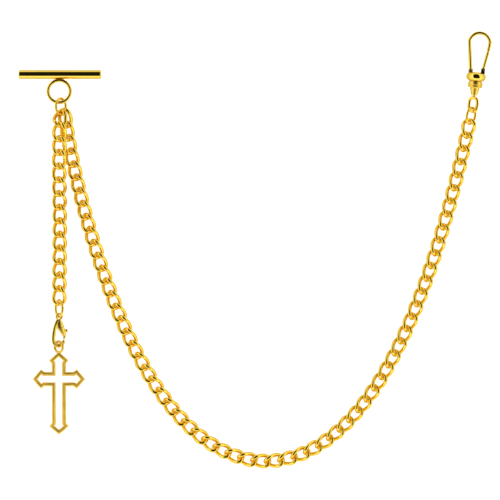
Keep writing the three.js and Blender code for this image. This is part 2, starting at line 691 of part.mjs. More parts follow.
function gateGeometry() {
  const hinge = new THREE.Vector3(gateX, GATE_HINGE_Y, 0);
  const end = new THREE.Vector3(hookLegX(GATE_END_Y), GATE_END_Y, 0);
  const leg = wireAlong(new THREE.LineCurve3(hinge, end), GATE_WIRE, 1);
  const hub = pinAlongZ(gateX, GATE_HINGE_Y, GATE_HUB_HEIGHT, GATE_HUB_RADIUS, GATE_HUB_THICKNESS);
  // Above and below the hub the wire is cleared away, for the ears and the spring.
  const roomHeight = (GATE_HUB_THICKNESS + ROOM_THICKNESS) / 2;
  const room = (side) => pinAlongZ(
    gateX,
    GATE_HINGE_Y,
    GATE_HUB_HEIGHT + side * roomHeight,
    GATE_HUB_RADIUS + FIT_GAP,
    ROOM_THICKNESS,
  );
  const bore = pinAlongZ(gateX, GATE_HINGE_Y, 0, PIN_RADIUS + PIN_CLEARANCE, CUT_THROUGH);
  return cut(join(leg, hub), room(1), room(-1), bore);
}

addMesh(claspGroup, 'swivel_eye', swivelEyeGeometry(), chainGold);
addMesh(claspGroup, 'swivel_cone', swivelConeGeometry(), polishedGold);
addMesh(claspGroup, 'swivel_bead', swivelBeadGeometry(), polishedGold);
addMesh(claspGroup, 'hook_wire', hookGeometry(), polishedGold);
const gatePinLength = 2 * GATE_EAR_HEIGHT + 0.4;
const gateSpringHeight = 0.44;
const gatePin = pinAlongZ(gateX, GATE_HINGE_Y, 0, PIN_RADIUS, gatePinLength);
const gateSpring = coilSleeve(gateX, GATE_HINGE_Y, gateSpringHeight, 0.6, 0.22);
addMesh(claspGroup, 'gate_pin', gatePin, springSteel);
addMesh(claspGroup, 'gate_spring', gateSpring, springSteel);
addMesh(claspGroup, 'gate', gateGeometry(), polishedGold);

// The clasp hangs its eye on the end ring, with its bead resting on the surface.
const eyeInside = SWIVEL_EYE_Y - EYE_HALF_LENGTH + (EYE_WIRE + JUMP_WIRE) / 2 + RING_GAP;
const endRingTop = endRing.clone().addScaledVector(longForward, JUMP_HALF_LENGTH);
const eyeReach = new THREE.Vector3(0, eyeInside, 0).applyEuler(claspGroup.rotation);
claspGroup.position.set(endRingTop.x - eyeReach.x, endRingTop.y - eyeReach.y, 0);
claspGroup.position.z = -new THREE.Box3().setFromObject(claspGroup, true).min.z;

// ---- origin: the middle of the bounding box, on the surface ----

const box = new THREE.Box3().setFromObject(part, true);
part.position.set(-(box.min.x + box.max.x) / 2, -(box.min.y + box.max.y) / 2, -box.min.z);
part.updateMatrixWorld(true);

export default part;
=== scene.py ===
import json
import math

import bmesh
import bpy
from mathutils import Matrix, Vector


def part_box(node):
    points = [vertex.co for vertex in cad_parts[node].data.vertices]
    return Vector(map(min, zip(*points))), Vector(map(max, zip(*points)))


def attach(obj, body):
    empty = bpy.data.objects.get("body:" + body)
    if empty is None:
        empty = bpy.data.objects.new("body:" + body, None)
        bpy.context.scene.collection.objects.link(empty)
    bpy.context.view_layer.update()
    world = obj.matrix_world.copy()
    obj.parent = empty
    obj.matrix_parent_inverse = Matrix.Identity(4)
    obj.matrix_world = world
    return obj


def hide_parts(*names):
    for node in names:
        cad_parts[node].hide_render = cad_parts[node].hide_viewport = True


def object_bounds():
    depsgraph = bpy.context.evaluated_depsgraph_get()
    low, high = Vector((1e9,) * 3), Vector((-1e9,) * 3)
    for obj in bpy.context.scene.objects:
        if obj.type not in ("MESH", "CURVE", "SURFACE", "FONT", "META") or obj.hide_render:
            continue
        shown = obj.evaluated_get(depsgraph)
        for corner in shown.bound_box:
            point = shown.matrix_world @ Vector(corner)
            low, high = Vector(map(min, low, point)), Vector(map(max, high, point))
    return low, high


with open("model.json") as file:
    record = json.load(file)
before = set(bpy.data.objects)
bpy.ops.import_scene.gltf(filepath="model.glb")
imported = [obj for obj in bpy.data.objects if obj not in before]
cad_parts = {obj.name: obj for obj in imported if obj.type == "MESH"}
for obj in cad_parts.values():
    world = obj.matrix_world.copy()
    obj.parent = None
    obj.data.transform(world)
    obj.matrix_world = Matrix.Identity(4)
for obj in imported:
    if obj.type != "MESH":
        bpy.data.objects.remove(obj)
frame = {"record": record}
cad_low, cad_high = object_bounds()

# Everything is built in millimetres in the frame of its own piece, then placed in metres.
MM = 0.001

# ---- driving dimensions, as in the CAD source ----

BAR_LENGTH = 30
BAR_RADIUS = 1.62
BAR_RING_RADIUS = 4.05
BAR_RING_WIRE = 1.25
BAR_RING_SHIFT = -0.25
BAR_RING_OFFSET = 6.2
BAR_RING_LIFT = 3.5

JUMP_WIRE = 1.0
JUMP_HALF_WIDTH = 2.5
JUMP_HALF_LENGTH = 2.97
TOP_RING_ROLL = 51
TOP_RING_SHIFT = 0.4
DROP_RING_ROLL = -55
DROP_RING_HEIGHT = 2.55
END_RING_ROLL = 48
END_RING_HEIGHT = 2.35
FIT_GAP = 0.3
RUNNING_GAP = 0.12
RING_GAP = 0.2

LINK_WIRE = 1.4
LINK_PITCH = 4.925
LINK_HALF_LENGTH = (LINK_PITCH + LINK_WIRE + RUNNING_GAP) / 2
LINK_HALF_WIDTH = 2.05
LINK_TWIST = 1.1
DROP_LINKS = 14
DROP_X = 0.24
DROP_DRIFT = 0.44
DROP_RAISE = 3.96
DROP_RAISE_SPAN = (16, 40)
DROP_DIP = 3.24
DROP_DIP_SPAN = (-3.1, 3.3)
DROP_END_RAISE = 0.5
DROP_END_SPAN = (50, 66)
DROP_ROLL = 14
DROP_ROLL_SPAN = (20, 45)
LONG_LINKS = 63
LONG_ROLL = 13
LONG_ROLL_SPAN = (6, 40)
LONG_LOWEST = Vector((75.15, -140.9))
LONG_SAG = 33.2
LONG_START_Y = -15.92
LONG_START_SHIFT = 1.26
LONG_START_FADE = 15
LONG_END_RAISE = 0.25
LONG_END_SPAN = (290, 305)
PAIR_PITCH = 2 * LINK_PITCH
INNER_PITCH = 2 * LINK_HALF_LENGTH - LINK_WIRE + 0.1

LOBSTER_LEAN = 1.6
LOBSTER_ROLL = 20
LOBSTER_PITCH = 4.5
LOBSTER_BOW_Y = -8.8
LEVER_PIVOT = (1.0, -3.9)

PENDANT_LOOP_RADIUS = 2.0
PENDANT_LOOP_WIRE = 1.0
PENDANT_LOOP_ROLL = -38
PENDANT_HANG = 2.3
PENDANT_PITCH = 2.0
CROSS_HEIGHT = 30.4
CROSS_HALF_WIDTH = 9.65
CROSS_ARM_DROP = 10
CROSS_ARM_HALF = 2.6
CROSS_FLARE_HALF = 3.62
CROSS_FLARE_IN = 3.1
CROSS_WAIST_IN = 4.4
CROSS_FRAME = 1.42

EYE_WIRE = 1.15
EYE_HALF_WIDTH = 1.68
EYE_HALF_LENGTH = 2.48
EYE_ROLL = -35
CLASP_LEAN = 5.3
CLASP_PITCH = 7
SWIVEL_EYE_Y = -10.1
BEAD_RADIUS = 3.55
BEAD_BOTTOM = -1.62
BEAD_TOP = 1.68
FLANGE_RADIUS = 2.7
FLANGE_BOTTOM = -3.85
CONE_RADIUS = 1.8
CONE_END_RADIUS = 1.15
CONE_BOTTOM = -6.75
HOOK_ARCH_RADIUS = 3.8
HOOK_ARCH_Y = 12.1
HOOK_LEG_X = 2.1
GATE_HINGE_Y = 2.75
GATE_END_Y = 9.6
GATE_HUB_RADIUS = 0.72

# ---- sizes of the fine surface only ----

# The clasp's wires are a little thicker here than in the CAD.
EYE_BAND = 1.2
HOOK_WIRE = 1.3
GATE_WIRE = 1.2
# The round wires are a little thinner than the CAD's faceted wires are across their corners.
ROUND_RING = 0.95
ROUND_LINK = 0.97

# ---- frames ----

bar_low, bar_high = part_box("t_bar")
SHIFT = (bar_low + bar_high) / 2 - Vector((0, 0, BAR_RADIUS * MM))


def turned(middle, lean=0, pitch=0, roll=0):
    """The frame of a piece whose length runs along its own +Y: nose up by the pitch, then rolled."""
    heading = Matrix.Rotation(math.radians(-lean), 4, "Z")
    nose = Matrix.Rotation(math.radians(pitch), 4, "X")
    rolled = Matrix.Rotation(math.radians(roll), 4, "Y")
    return Matrix.Translation(middle) @ heading @ nose @ rolled


def smoothstep(value, low, high):
    t = min(max((value - low) / (high - low), 0), 1)
    return t * t * (3 - 2 * t)


bar_frame = turned((0, 0, BAR_RADIUS), pitch=-BAR_RING_LIFT)

ring_bottom_y = -BAR_RING_OFFSET - BAR_RING_RADIUS
ring_bottom_z = BAR_RADIUS - ring_bottom_y * math.sin(math.radians(BAR_RING_LIFT))
top_ring_y = ring_bottom_y + (BAR_RING_WIRE + JUMP_WIRE) / 2 + FIT_GAP - JUMP_HALF_LENGTH
top_ring_frame = turned((TOP_RING_SHIFT, top_ring_y, ring_bottom_z), roll=TOP_RING_ROLL)
RING_TO_LINK = (JUMP_WIRE + LINK_WIRE) / 2 + RING_GAP


# The lowest point of a link is looked for at these places round it.
REST_SAMPLES = 126
REST_STEP = 0.05


def rest_height(roll):
    """How high the middle of a rolled link is when it rests on the surface."""
    tilt = math.radians(roll)
    lowest = 0
    for step in range(REST_SAMPLES):
        angle = step * REST_STEP
        side = LINK_HALF_WIDTH * math.sin(angle) * math.sin(tilt)
        rise = -LINK_TWIST * math.sin(2 * angle) * math.cos(tilt)
        lowest = min(lowest, side + rise)
    return LINK_WIRE / 2 - lowest


class Chain:
    """A row of links along a route. Its route and its roll are functions of the distance along it."""

    def __init__(self, name, links, route, roll):
        self.name = name
        self.links = links
        self.route = route
        self.roll = roll
        last = links - 1
        length = PAIR_PITCH * (last // 2) + (last % 2) * INNER_PITCH
        self.spacing = length / last

    def level_frame(self, distance):
        ahead = self.route(distance + LINK_HALF_LENGTH)
        behind = self.route(distance - LINK_HALF_LENGTH)
        forward = ahead - behind
        heading = math.atan2(forward.y, forward.x)
        climb = math.atan2(forward.z, math.hypot(forward.x, forward.y))
        turn = Matrix.Rotation(heading, 4, "Z") @ Matrix.Rotation(-climb, 4, "Y")
        return Matrix.Translation(self.route(distance)) @ turn

    def link_frame(self, index):
        distance = index * self.spacing
        return self.level_frame(distance) @ Matrix.Rotation(math.radians(self.roll(distance)), 4, "X")

    def end(self, distance, side):
        return self.level_frame(distance) @ Vector((side * LINK_HALF_LENGTH, 0, 0))


def drop_roll(distance):
    return DROP_ROLL * smoothstep(distance, *DROP_ROLL_SPAN)


def drop_route(distance):
    over_long_chain = DROP_RAISE * (1 - smoothstep(distance, *DROP_RAISE_SPAN))
    under_top_ring = DROP_DIP * (1 - smoothstep(distance, *DROP_DIP_SPAN))
    over_drop_ring = DROP_END_RAISE * smoothstep(distance, *DROP_END_SPAN)
    height = rest_height(drop_roll(distance)) + over_long_chain - under_top_ring + over_drop_ring
    x = DROP_X - DROP_DRIFT * distance / (DROP_LINKS * LINK_PITCH)
    return Vector((x, drop_start_y - distance, height))


# The drop is laid out from y = 0 first, then moved so that its first link hangs in the top ring.
drop_start_y = 0
drop_chain = Chain("drop_link", DROP_LINKS, drop_route, drop_roll)
drop_start_y = top_ring_y - JUMP_HALF_LENGTH + RING_TO_LINK - drop_chain.end(0, -1).y

catenary_start = math.acosh(1 + (LONG_START_Y - LONG_LOWEST.y) / LONG_SAG)


def long_roll(distance):
    return LONG_ROLL * smoothstep(distance, *LONG_ROLL_SPAN)


def long_route(distance):
    along = math.asinh(distance / LONG_SAG - math.sinh(catenary_start))
    shift = LONG_START_SHIFT * math.exp(-max(distance, 0) / LONG_START_FADE)
    x = LONG_LOWEST.x + LONG_SAG * along + shift
    y = LONG_LOWEST.y + LONG_SAG * (math.cosh(along) - 1)
    height = rest_height(long_roll(distance)) + LONG_END_RAISE * smoothstep(distance, *LONG_END_SPAN)
    return Vector((x, y, height))


long_chain = Chain("long_link", LONG_LINKS, long_route, long_roll)

drop_end = drop_chain.end((DROP_LINKS - 1) * drop_chain.spacing, 1)
drop_ring_y = drop_end.y + RING_TO_LINK - JUMP_HALF_LENGTH
drop_ring_frame = turned((drop_end.x, drop_ring_y, DROP_RING_HEIGHT), roll=DROP_RING_ROLL)
lobster_frame = turned(
    (drop_end.x, drop_ring_y - JUMP_HALF_LENGTH, DROP_RING_HEIGHT),
    lean=LOBSTER_LEAN,
    pitch=LOBSTER_PITCH,
    roll=LOBSTER_ROLL,
)
bow = lobster_frame @ Vector((0, LOBSTER_BOW_Y, 0))
pendant_frame = turned((bow.x, bow.y - PENDANT_HANG, bow.z), pitch=PENDANT_PITCH)

long_last = (LONG_LINKS - 1) * long_chain.spacing
long_end = long_chain.end(long_last, 1)
long_forward = (long_chain.level_frame(long_last).to_3x3() @ Vector((1, 0, 0))).normalized()
end_ring = long_end + long_forward * (JUMP_HALF_LENGTH - RING_TO_LINK)
end_lean = 90 - math.degrees(math.atan2(long_forward.y, long_forward.x))
end_ring_frame = turned((end_ring.x, end_ring.y, END_RING_HEIGHT), lean=end_lean, roll=END_RING_ROLL)

# The clasp hangs its eye on the end ring, and its axis is the line that the CAD clasp swivels on.
clasp_turn = turned((0, 0, 0), lean=CLASP_LEAN, pitch=CLASP_PITCH)
eye_inside = SWIVEL_EYE_Y - EYE_HALF_LENGTH + (EYE_WIRE + JUMP_WIRE) / 2 + RING_GAP
eye_reach = clasp_turn @ Vector((0, eye_inside, 0))
end_ring_top = end_ring + long_forward * JUMP_HALF_LENGTH
swivel = next(joint for joint in frame["record"]["behaviour"]["joints"] if joint["name"] == "clasp_swivel")
swivel_point = (Vector(swivel["pos_m"]) - SHIFT) / MM
clasp_y = end_ring_top.y - eye_reach.y
clasp_middle = swivel_point + Vector(swivel["axis"]) * ((clasp_y - swivel_point.y) / swivel["axis"][1])
clasp_frame = turned(clasp_middle, lean=CLASP_LEAN, pitch=CLASP_PITCH)

# ---- materials ----


class Nodes:
    """A short way to write a node tree."""

    def __init__(self, tree):
        self.tree = tree
        tree.nodes.clear()

    def add(self, kind, **settings):
        node = self.tree.nodes.new(kind)
        for key, value in settings.items():
            setattr(node, key, value)
        return node

    def link(self, source, target):
        self.tree.links.new(source, target)

    def math(self, operation, left, right=0.0, clamp=False):
        node = self.add("ShaderNodeMath", operation=operation, use_clamp=clamp)
        for socket, value in zip(node.inputs, (left, right)):
            if isinstance(value, (int, float)):
                socket.default_value = value
            else:
                self.link(value, socket)
        return node.outputs[0]

    def ramp(self, value, from_low, from_high, to_low, to_high, smooth=False):
        node = self.add("ShaderNodeMapRange")
        if smooth:
            node.interpolation_type = "SMOOTHSTEP"
        self.link(value, node.inputs["Value"])
        for name, number in zip(
            ("From Min", "From Max", "To Min", "To Max"), (from_low, from_high, to_low, to_high)
        ):
            node.inputs[name].default_value = number
        return node.outputs["Result"]

    def noise(self, coordinates, scale, detail=2.0, roughness=0.5):
        node = self.add("ShaderNodeTexNoise")
        self.link(coordinates, node.inputs["Vector"])
        node.inputs["Scale"].default_value = scale
        node.inputs["Detail"].default_value = detail
        node.inputs["Roughness"].default_value = roughness
        return node.outputs["Fac"]


COLOUR_SCALE = 420
WEAR_SCALE = 900
SCRATCH_SCALE = 520
SCRATCH_STRETCH = 26
SCRATCH_ANGLES = (0.35, 1.4, 2.5)
SCRATCH_DEPTH = 0.004
DENT_DEPTH = 0.05


def gold(name, light, deep, smooth, rough, dent, dent_scale, scratch, edge_tint):
    """Plated metal: its colour drifts from light to deep and its roughness from smooth to rough.

    Soft dents and fine polishing scratches come on top. Noise scales are in turns to the metre.
    """
    material = bpy.data.materials.new(name)
    material.use_nodes = True
    nodes = Nodes(material.node_tree)
    output = nodes.add("ShaderNodeOutputMaterial")
    shader = nodes.add("ShaderNodeBsdfPrincipled")
    nodes.link(shader.outputs["BSDF"], output.inputs["Surface"])
    shader.inputs["Metallic"].default_value = 1.0
    shader.inputs["Specular Tint"].default_value = (*edge_tint, 1)
    place = nodes.add("ShaderNodeTexCoord").outputs["Object"]

    drift = nodes.noise(place, COLOUR_SCALE, 3.0)
    mix = nodes.add("ShaderNodeMix", data_type="RGBA")
    nodes.link(nodes.ramp(drift, 0.35, 0.65, 0, 1), mix.inputs["Factor"])
    mix.inputs["A"].default_value = (*light, 1)
    mix.inputs["B"].default_value = (*deep, 1)
    nodes.link(mix.outputs["Result"], shader.inputs["Base Color"])

    # Scratches run at three angles: each is noise drawn out along one direction.
    lines = None
    for angle in SCRATCH_ANGLES:
        stretch = nodes.add("ShaderNodeMapping")
        stretch.inputs["Rotation"].default_value = (0, 0, angle)
        stretch.inputs["Scale"].default_value = (1, SCRATCH_STRETCH, SCRATCH_STRETCH)
        nodes.link(place, stretch.inputs["Vector"])
        line = nodes.ramp(nodes.noise(stretch.outputs["Vector"], SCRATCH_SCALE), 0.6, 0.72, 0, 1)
        lines = line if lines is None else nodes.math("MAXIMUM", lines, line)

    worn = nodes.ramp(nodes.noise(place, WEAR_SCALE, 4.0, 0.6), 0.35, 0.7, smooth, rough)
    dull = nodes.math("ADD", worn, nodes.math("MULTIPLY", lines, scratch), clamp=True)
    nodes.link(dull, shader.inputs["Roughness"])

    dents = nodes.add("ShaderNodeBump")
    dents.inputs["Strength"].default_value = dent
    dents.inputs["Distance"].default_value = DENT_DEPTH * MM
    nodes.link(nodes.noise(place, dent_scale), dents.inputs["Height"])
    grooves = nodes.add("ShaderNodeBump", invert=True)
    grooves.inputs["Strength"].default_value = scratch
    grooves.inputs["Distance"].default_value = SCRATCH_DEPTH * MM
    nodes.link(lines, grooves.inputs["Height"])
    nodes.link(dents.outputs["Normal"], grooves.inputs["Normal"])
    nodes.link(grooves.outputs["Normal"], shader.inputs["Normal"])
    return material


polished = gold(
    "polished_gold",
    light=(1.0, 0.75, 0.13),
    deep=(1.0, 0.70, 0.10),
    smooth=0.04,
    rough=0.09,
    dent=0.10,
    dent_scale=500,
    scratch=0.12,
    edge_tint=(1.0, 0.78, 0.4),
)
linked = gold(
    "chain_gold",
    light=(1.0, 0.73, 0.10),
    deep=(1.0, 0.66, 0.07),
    smooth=0.05,
    rough=0.12,
    dent=0.2,
    dent_scale=900,
    scratch=0.15,
    edge_tint=(1.0, 0.75, 0.35),
)
cast = gold(
    "cast_gold",
    light=(1.0, 0.72, 0.13),
    deep=(0.97, 0.64, 0.10),
    smooth=0.42,
    rough=0.54,
    dent=0.5,
    dent_scale=2200,
    scratch=0.10,
    edge_tint=(1.0, 0.78, 0.4),
)
satin = gold(
    "satin_gold",
    light=(1.0, 0.75, 0.13),
    deep=(1.0, 0.66, 0.10),
    smooth=0.24,
    rough=0.34,
    dent=0.2,
    dent_scale=700,
    scratch=0.12,
    edge_tint=(1.0, 0.78, 0.4),
)
# A dark copy of the gold: painted shade for the leg's socket and the gate's ears, which sit in the shade of
# the hook and the bead.
painted_shade_gold = gold(
    "shaded_gold",
    light=(0.32, 0.2, 0.06),
    deep=(0.2, 0.12, 0.04),
    smooth=0.25,
    rough=0.4,
    dent=0.3,
    dent_scale=1500,
    scratch=0.1,
    edge_tint=(0.8, 0.6, 0.3),
)
steel = gold(
    "spring_steel",
    light=(0.62, 0.55, 0.42),
    deep=(0.5, 0.44, 0.33),
    smooth=0.2,
    rough=0.35,
    dent=0.2,
    dent_scale=1500,
    scratch=0.2,
    edge_tint=(1.0, 1.0, 1.0),
)

# ---- building pieces ----


def piece(name, mesh, body, material, where, replaces, angle=40):
    """Places a mesh made in millimetres, smooths it up to an edge angle, and rides it on its CAD body."""
    place = Matrix.Translation(SHIFT) @ Matrix.Scale(MM, 4) @ where
    mesh.transform(place)
    mesh.name = name
    obj = bpy.data.objects.new(name, mesh)
    bpy.context.scene.collection.objects.link(obj)
    mesh.materials.append(material)
    mesh.polygons.foreach_set("use_smooth", [True] * len(mesh.polygons))
    if angle < 180:
        mesh.set_sharp_from_angle(angle=math.radians(angle))
    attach(obj, body)
    if replaces:
        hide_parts(*replaces)


def grid_mesh(rings, closed):
    """A skin over rings of points, each ring closed. An open row of rings is capped at both ends."""
    mesh = bpy.data.meshes.new("grid")
    sides = len(rings[0])
    points = [point for ring in rings for point in ring]
    faces = []
    count = len(rings) if closed else len(rings) - 1
    for row in range(count):
        after = (row + 1) % len(rings)
        for side in range(sides):
            beside = (side + 1) % sides
            faces.append((
                row * sides + side, row * sides + beside, after * sides + beside, after * sides + side
            ))
    if not closed:
        faces.append(tuple(reversed(range(sides))))
        faces.append(tuple((len(rings) - 1) * sides + side for side in range(sides)))
    mesh.from_pydata(points, [], faces)
    turn_outward(mesh)
    return mesh


def turn_outward(mesh):
    shape = bmesh.new()
    shape.from_mesh(mesh)
    bmesh.ops.recalc_face_normals(shape, faces=shape.faces)
    shape.to_mesh(mesh)
    shape.free()


def tube(path, steps, radius, closed, sides, flat=1.0):
    """Wire along path(t) for t from 0 to 1. radius is a number or a function of t; flat thins it along z."""
    up = Vector((0, 0, 1))
    rings = []
    count = steps if closed else steps + 1
    for step in range(count):
        t = step / steps
        small = 0.25 / steps
        before = path((t - small) % 1.0) if closed else path(max(t - small, 0))
        after = path((t + small) % 1.0) if closed else path(min(t + small, 1))
        tangent = (after - before).normalized()
        outward = tangent.cross(up).normalized()
        across = outward.cross(tangent)
        size = radius(t) if callable(radius) else radius
        middle = path(t)
        ring = []
        for side in range(sides):
            turn = side / sides * 2 * math.pi
            ring.append(middle + outward * (size * math.cos(turn)) + across * (size * flat * math.sin(turn)))
        rings.append(ring)
    return grid_mesh(rings, closed)


def lathe(profile, segments, closed=False):
    """A body of revolution about the y axis, bored through if its profile of (radius, y) is closed."""
    rings = []
    for radius, y in profile:
        ring = []
        for segment in range(segments):
            angle = segment / segments * 2 * math.pi
            ring.append(Vector((radius * math.cos(angle), y, radius * math.sin(angle))))
        rings.append(ring)
    return grid_mesh(rings, closed)


# A solid of revolution starts and ends this close to its axis, where a small flat cap closes it.
AXIS = 0.01


def arc_profile(middle_radius, middle_y, radius, start, end, steps):
    """Points of a round stretch of a profile, between two angles in degrees."""
    points = []
    for step in range(steps + 1):
        angle = math.radians(start + (end - start) * step / steps)
        points.append((middle_radius + radius * math.cos(angle), middle_y + radius * math.sin(angle)))
    return points


def joined(*meshes):
    """Several meshes as one."""
    shape = bmesh.new()
    for mesh in meshes:
        shape.from_mesh(mesh)
        bpy.data.meshes.remove(mesh)
    result = bpy.data.meshes.new("joined")
    shape.to_mesh(result)
    shape.free()
    return result


def fused(mesh, voxel, smoothing):
    """One cast body from overlapping pieces: voxels, then smoothing, which rounds the inner corners."""
    obj = bpy.data.objects.new("fusing", mesh)
    bpy.context.scene.collection.objects.link(obj)
    remesh = obj.modifiers.new("voxels", "REMESH")
    remesh.mode = "VOXEL"
    remesh.voxel_size = voxel
    smooth = obj.modifiers.new("smooth", "SMOOTH")
    smooth.factor = 0.5
    smooth.iterations = smoothing
    result = bpy.data.meshes.new_from_object(obj.evaluated_get(bpy.context.evaluated_depsgraph_get()))
    bpy.data.objects.remove(obj)
    bpy.data.meshes.remove(mesh)
    return result


def oval(half_x, half_y, middle=Vector((0, 0, 0))):
    def path(t):
        angle = t * 2 * math.pi
        return middle + Vector((half_x * math.cos(angle), half_y * math.sin(angle), 0))
    return path


def spline(points):
    """A smooth open path through points, for t from 0 to 1 (Catmull-Rom)."""
    points = [Vector(point) for point in points]
    ends = [2 * points[0] - points[1], *points, 2 * points[-1] - points[-2]]

    def path(t):
        place = min(max(t, 0), 1) * (len(points) - 1)
        index = min(int(place), len(points) - 2)
        u = place - index
        a, b, c, d = ends[index:index + 4]
        return 0.5 * (
            2 * b + (c - a) * u + (2 * a - 5 * b + 4 * c - d) * u * u + (3 * b - a - 3 * c + d) * u ** 3
        )
    return path


def between(values):
    """A number that runs smoothly through evenly spaced values, for t from 0 to 1."""
    path = spline([(value, 0, 0) for value in values])
    return lambda t: path(t).x


# ---- T-bar and its ring ----

half = BAR_LENGTH / 2
BAR_EDGE = 0.35
end_face = BAR_RADIUS - BAR_EDGE - 0.02
bar_profile = [(AXIS, -half), (end_face, -half)]
bar_profile += arc_profile(BAR_RADIUS - BAR_EDGE, -half + BAR_EDGE, BAR_EDGE, -90, 0, 5)
bar_profile += [(BAR_RADIUS, -half * 0.4), (BAR_RADIUS, half * 0.4)]
bar_profile += arc_profile(BAR_RADIUS - BAR_EDGE, half - BAR_EDGE, BAR_EDGE, 0, 90, 5)
bar_profile += [(end_face, half), (AXIS, half)]
bar_mesh = lathe(bar_profile, 96)
bar_mesh.transform(Matrix.Rotation(math.radians(-90), 4, "Z"))
piece("bar", bar_mesh, "bar", polished, bar_frame, ["t_bar"])

ring_middle = Vector((BAR_RING_SHIFT, -BAR_RING_OFFSET, 0))
ring_mesh = tube(oval(BAR_RING_RADIUS, BAR_RING_RADIUS, ring_middle), 128, BAR_RING_WIRE / 2, True, 24)
piece("bar_ring", ring_mesh, "bar", polished, bar_frame, ["t_bar_ring"])

# The solder saddle flares from the ring out along the bar.
SADDLE_TOP = -1.15
SADDLE_FOOT = -2.35
SADDLE_FOOT_WIDTH = 1.2
SADDLE_FLARE = 2.8
SADDLE_ROWS = 16
SADDLE_SIDES = 32
saddle_rings = []
for row in range(SADDLE_ROWS + 1):
    t = row / SADDLE_ROWS
    y = SADDLE_TOP + (SADDLE_FOOT - SADDLE_TOP) * t
    half_width = SADDLE_FOOT_WIDTH + SADDLE_FLARE * (1 - t) ** 2.2
    half_height = 0.3 + 0.35 * (1 - t) ** 2
    ring = []
    for side in range(SADDLE_SIDES):
        angle = side / SADDLE_SIDES * 2 * math.pi
        x = BAR_RING_SHIFT + half_width * math.cos(angle)
        ring.append(Vector((x, y, half_height * math.sin(angle))))
    saddle_rings.append(ring)
piece("bar_saddle", grid_mesh(saddle_rings, False), "bar", polished, bar_frame, ())

# ---- jump rings: round wire with a fine seam where its ends meet ----

# Half the gap between the ends, as a share of the way round, and how the ends narrow.
SEAM_GAP = 0.002
SEAM_NARROWING = 0.25
SEAM_SHARPNESS = 700


def jump_ring(name, body, where, seam, node):
    """seam is the place of the cut round the ring, in degrees. The wire narrows at the cut."""
    start = seam / 360

    def path(t):
        angle = (start + SEAM_GAP + t * (1 - 2 * SEAM_GAP)) * 2 * math.pi
        return Vector((JUMP_HALF_WIDTH * math.cos(angle), JUMP_HALF_LENGTH * math.sin(angle), 0))

    def radius(t):
        narrowing = SEAM_NARROWING * math.exp(-min(t, 1 - t) * SEAM_SHARPNESS)
        return ROUND_RING * JUMP_WIRE / 2 * (1 - narrowing)

    mesh = tube(path, 120, radius, False, 20)
    piece(name, mesh, body, linked, where, [node])


jump_ring("top_ring", "top_ring", top_ring_frame, 205, "top_jump_ring")
jump_ring("drop_ring", "drop_ring", drop_ring_frame, 20, "drop_jump_ring")
jump_ring("end_ring", "end_ring", end_ring_frame, 160, "end_jump_ring")

# ---- curb links ----


def link_path(t):
    angle = t * 2 * math.pi
    return Vector((
        LINK_HALF_LENGTH * math.cos(angle),
        LINK_HALF_WIDTH * math.sin(angle),
        -LINK_TWIST * math.sin(2 * angle),
    ))


def add_links(chain, body_name, node_name):
    for index in range(chain.links):
        pair = index // 2 + 1
        mesh = tube(link_path, 64, ROUND_LINK * LINK_WIRE / 2, True, 16)
        piece(
            f"{chain.name}_{index + 1:02d}",
            mesh,
            f"{body_name}_{pair:02d}",
            linked,
            chain.link_frame(index),
            [f"{node_name}_{pair:02d}"],
        )


add_links(drop_chain, "drop", "drop_links")
add_links(long_chain, "long", "long_links")

# ---- lobster clasp ----

LOBSTER_EYE_RADIUS = 1.05
LOBSTER_EYE_WIRE = 0.68

# The arm runs from the eye down the left side, round the bow and up to the lever's end.
arm_path = spline([
    (-0.4, -1.0, 0), (-1.1, -2.6, 0), (-1.6, -4.6, 0), (-1.92, -6.8, 0), (-1.98, -8.6, 0),
    (-1.5, -10.0, 0), (0, -10.68, 0), (1.5, -10.0, 0), (2.0, -8.6, 0),
])
arm_radius = between([0.5, 0.62, 0.7, 0.72, 0.68, 0.7, 0.8, 0.7, 0.5])
arm = tube(arm_path, 80, arm_radius, False, 20, flat=0.72)
lobster_eye_path = oval(LOBSTER_EYE_RADIUS, LOBSTER_EYE_RADIUS)
eye = tube(lobster_eye_path, 64, LOBSTER_EYE_WIRE / 2, True, 16, flat=1.5)

# The shoulder is the wide body that houses the lever: a place along it, its two sides and half its height.
SHOULDER = (
    (-0.95, -0.35, 0.6, 0.45), (-1.7, -0.65, 1.1, 0.72), (-2.6, -0.95, 1.55, 0.88), (-3.5, -1.0, 1.9, 0.95),
    (-4.3, -0.7, 2.1, 0.95), (-5.2, -0.1, 2.3, 0.92), (-6.1, 0.6, 2.42, 0.85), (-6.8, 1.1, 2.45, 0.7),
    (-7.1, 1.4, 2.4, 0.45),
)
SHOULDER_SIDES = 32


def squared(value):
    """A sine or cosine made fuller, which turns an oval section a little towards a rectangle."""
    return math.copysign(abs(value) ** 0.8, value)


shoulder_rings = []
for y, left, right, height in SHOULDER:
    middle_x = (left + right) / 2
    half_x = (right - left) / 2
    ring = []
    for side in range(SHOULDER_SIDES):
        angle = side / SHOULDER_SIDES * 2 * math.pi
        x = middle_x + half_x * squared(math.cos(angle))
        ring.append(Vector((x, y, height * squared(math.sin(angle)))))
    shoulder_rings.append(ring)
shoulder = grid_mesh(shoulder_rings, False)
lobster_mesh = fused(joined(arm, eye, shoulder), 0.085, 4)
piece("lobster", lobster_mesh, "lobster", satin, lobster_frame, ["lobster_body"], 180)

lever_path = spline([(1.0, -3.9, 0), (1.75, -5.2, 0), (2.15, -6.6, 0), (2.1, -7.6, 0), (1.98, -8.35, 0)])
lever_bar = tube(lever_path, 40, between([0.42, 0.5, 0.5, 0.45, 0.32]), False, 16, flat=0.55)
tab_path = spline([(1.9, -5.5, 0), (2.6, -5.3, 0), (3.15, -5.15, 0)])
lever_tab = tube(tab_path, 20, between([0.75, 0.62, 0.72]), False, 16, flat=0.75)
lever_mesh = fused(joined(lever_bar, lever_tab), 0.07, 3)
piece("lever", lever_mesh, "lever", satin, lobster_frame, ["lobster_lever"], 180)


